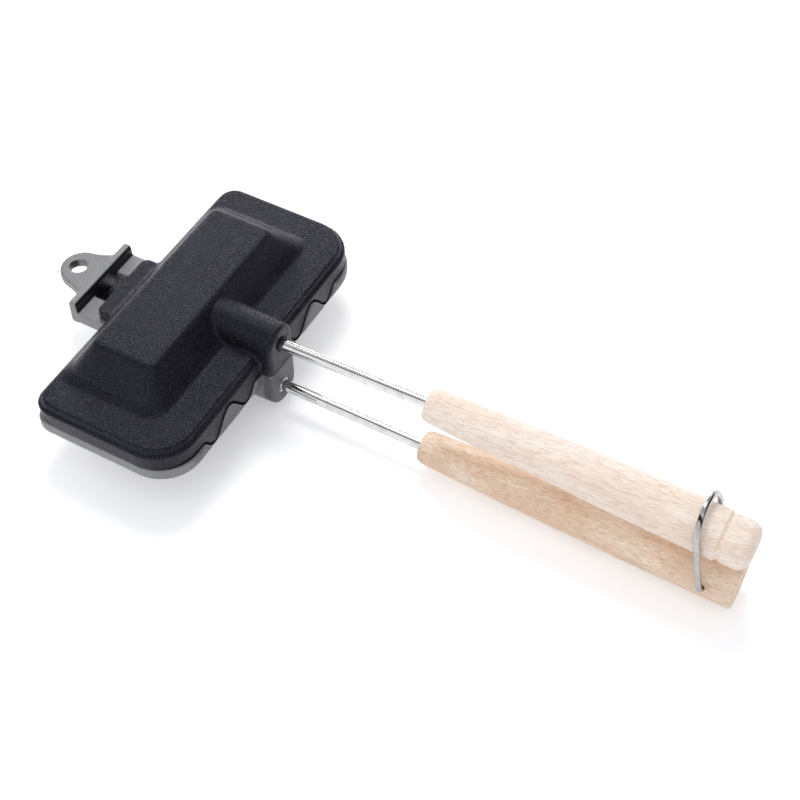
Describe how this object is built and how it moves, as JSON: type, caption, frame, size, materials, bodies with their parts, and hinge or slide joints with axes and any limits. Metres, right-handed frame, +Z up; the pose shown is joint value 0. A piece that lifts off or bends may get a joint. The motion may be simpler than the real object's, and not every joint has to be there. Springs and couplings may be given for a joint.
{
  "type": "pie iron",
  "caption": "Closed two-pan pie iron: oblong cast pans with a wavy interlocking rim, hook hinge and hanging eye, steel rods, turned wooden grips and a wire bail that locks the grips together",
  "frame": {"origin": "On the table under the middle of the pans' rim outline, in the plane of the flat of the lower pan on which the closed iron stands", "axes": "+X from the pans to the ends of the grips, +Z up and square to the parting face of the pans, +Y along the long side of the pans"},
  "size_m": [0.3207, 0.148, 0.0531],
  "materials": {
    "cast_grey": "rough sand-cast surface, bare",
    "cast_black": "rough sand-cast surface with a dark matt coating",
    "rod_steel": "bright plated rod",
    "beech": "turned and lightly oiled beech",
    "wire_steel": "bright drawn wire",
    "screw_steel": "blackened steel"
  },
  "bodies": {
    "lower_half": {"lower_plate": "cast_grey", "lower_rod": "rod_steel", "lower_grip": "beech", "lower_set_screw": "screw_steel"},
    "upper_half": {"upper_plate": "cast_black", "upper_rod": "rod_steel", "upper_grip": "beech", "upper_set_screw": "screw_steel"},
    "bail": {"wire_bail": "wire_steel"}
  },
  "joints": [
    {"name": "plate_hinge", "type": "hinge", "parent": "lower_half", "child": "upper_half", "pos_m": [-0.0444, 0, 0.026], "axis": [0, -1, 0], "range_deg": [0, 92]},
    {"name": "bail_pivot", "type": "hinge", "parent": "lower_half", "child": "bail", "pos_m": [0.2339, 0, 0.0138], "axis": [0, 1, 0], "range_deg": [-12, 250]}
  ]
}
